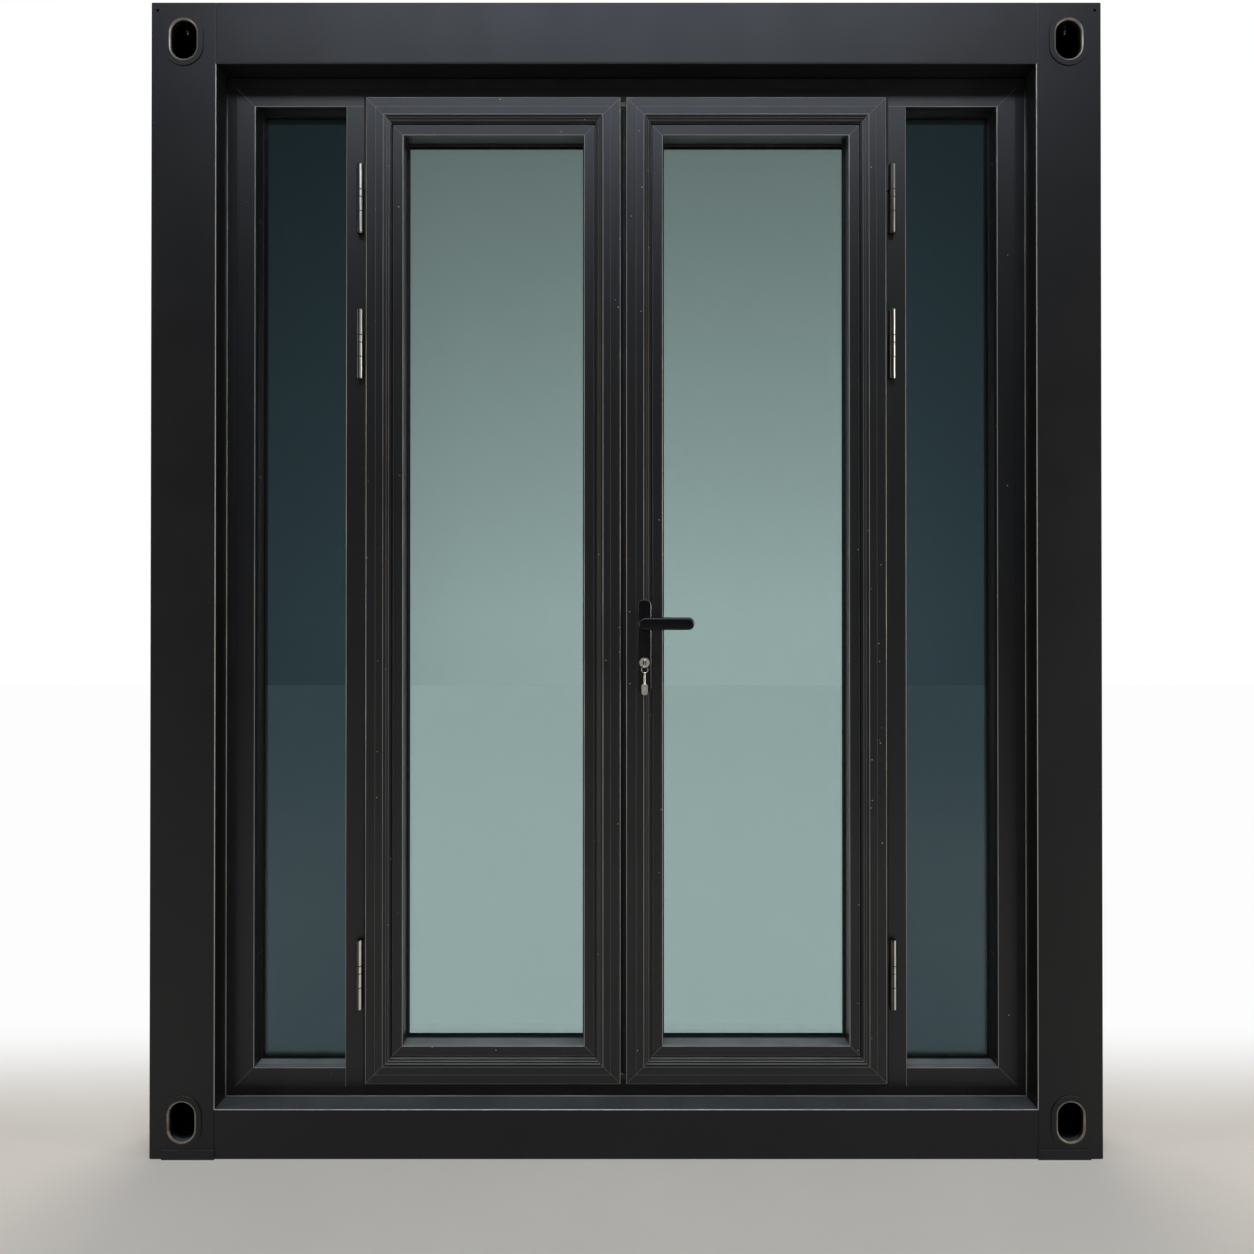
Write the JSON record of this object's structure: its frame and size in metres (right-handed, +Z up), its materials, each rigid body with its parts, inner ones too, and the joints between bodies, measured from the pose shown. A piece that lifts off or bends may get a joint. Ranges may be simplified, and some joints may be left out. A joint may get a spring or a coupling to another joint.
{
  "type": "double glass door in a steel end frame",
  "caption": "Glazed double door with slim sidelights in a recessed dark aluminium frame, held by a painted steel end frame with slotted corner fittings; leaves swing outwards.",
  "frame": {"origin": "centre of the sill beam's underside", "axes": "+Z up, +Y from the outside to the inside, +X to the right seen from outside"},
  "size_m": [2.04, 0.198, 2.48],
  "materials": {
    "steel_paint": "satin",
    "black_aluminium": "satin powder coat",
    "glass": "clear, tinted",
    "rubber": "matte",
    "hinge_steel": "satin",
    "handle_black": "satin",
    "nickel": "polished",
    "edge_steel": "brushed"
  },
  "bodies": {
    "frame": {"left_post": "steel_paint", "right_post": "steel_paint", "header_beam": "steel_paint", "sill_beam": "steel_paint", "top_left_corner_fitting": "steel_paint", "top_right_corner_fitting": "steel_paint", "bottom_left_corner_fitting": "steel_paint", "bottom_right_corner_fitting": "steel_paint", "frame_head": "black_aluminium", "frame_left_jamb": "black_aluminium", "frame_right_jamb": "black_aluminium", "sidelight_sills": "black_aluminium", "left_mullion": "black_aluminium", "right_mullion": "black_aluminium", "door_threshold": "black_aluminium", "sidelight_glass": "glass", "sidelight_beads": "black_aluminium", "sidelight_gaskets": "rubber", "hinge_frame_halves": "hinge_steel", "hinge_pins": "hinge_steel"},
    "left_leaf": {"left_leaf_hinge_stile": "black_aluminium", "left_leaf_meeting_stile": "black_aluminium", "left_leaf_top_rail": "black_aluminium", "left_leaf_bottom_rail": "black_aluminium", "left_leaf_glass": "glass", "left_leaf_beads": "black_aluminium", "left_leaf_seals": "rubber", "left_hinge_leaf_halves": "hinge_steel", "strike_plate": "edge_steel"},
    "right_leaf": {"right_leaf_hinge_stile": "black_aluminium", "right_leaf_meeting_stile": "black_aluminium", "right_leaf_top_rail": "black_aluminium", "right_leaf_bottom_rail": "black_aluminium", "right_leaf_glass": "glass", "right_leaf_beads": "black_aluminium", "right_leaf_seals": "rubber", "right_hinge_leaf_halves": "hinge_steel", "lock_faceplate": "edge_steel", "outside_handle_plate": "handle_black", "inside_handle_plate": "handle_black", "lock_cylinder": "nickel", "key": "nickel", "key_tag": "nickel"},
    "lever": {"outside_lever": "handle_black", "inside_lever": "handle_black"}
  },
  "joints": [
    {"name": "left_leaf_swing", "type": "hinge", "parent": "frame", "child": "left_leaf", "pos_m": [-0.585, -0.03, 1.2], "axis": [0, 0, -1], "range_deg": [0, 150]},
    {"name": "right_leaf_swing", "type": "hinge", "parent": "frame", "child": "right_leaf", "pos_m": [0.585, -0.03, 1.2], "axis": [0, 0, 1], "range_deg": [0, 150]},
    {"name": "lever_turn", "type": "hinge", "parent": "right_leaf", "child": "lever", "pos_m": [0.04, 0.001, 1.145], "axis": [0, 1, 0], "range_deg": [0, 45], "stiffness_Nm_per_rad": 1.2, "springref_deg": -34.38}
  ]
}
